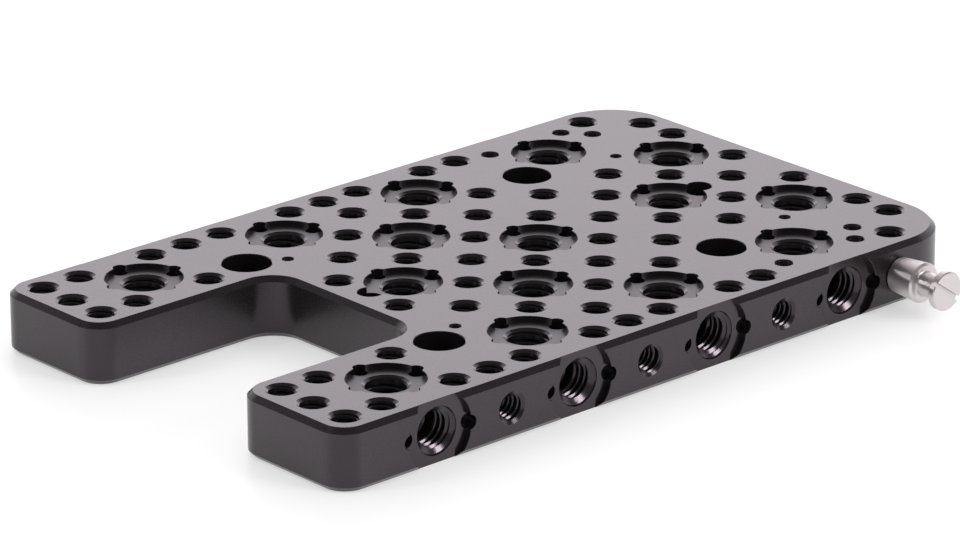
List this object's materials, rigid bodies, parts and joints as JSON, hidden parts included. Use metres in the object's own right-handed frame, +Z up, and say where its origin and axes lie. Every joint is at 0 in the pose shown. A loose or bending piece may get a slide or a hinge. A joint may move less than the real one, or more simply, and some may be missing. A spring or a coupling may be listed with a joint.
{
  "type": "camera top plate",
  "caption": "Flat black milled camera top plate with a notch at one end, a grid of tapped holes, counterbored locating sockets on top and sides, and a turned steel tape hook.",
  "frame": {"origin": "centre of the plate's underside", "axes": "+X along the length, away from the notch; +Y across, away from the tape hook; +Z up, out of the socket face"},
  "size_m": [0.184, 0.1287, 0.0142],
  "materials": {
    "black_anodised": "satin black anodised",
    "stainless": "turned, bright"
  },
  "bodies": {
    "root": {"top_plate": "black_anodised", "tape_hook": "stainless"}
  },
  "joints": []
}
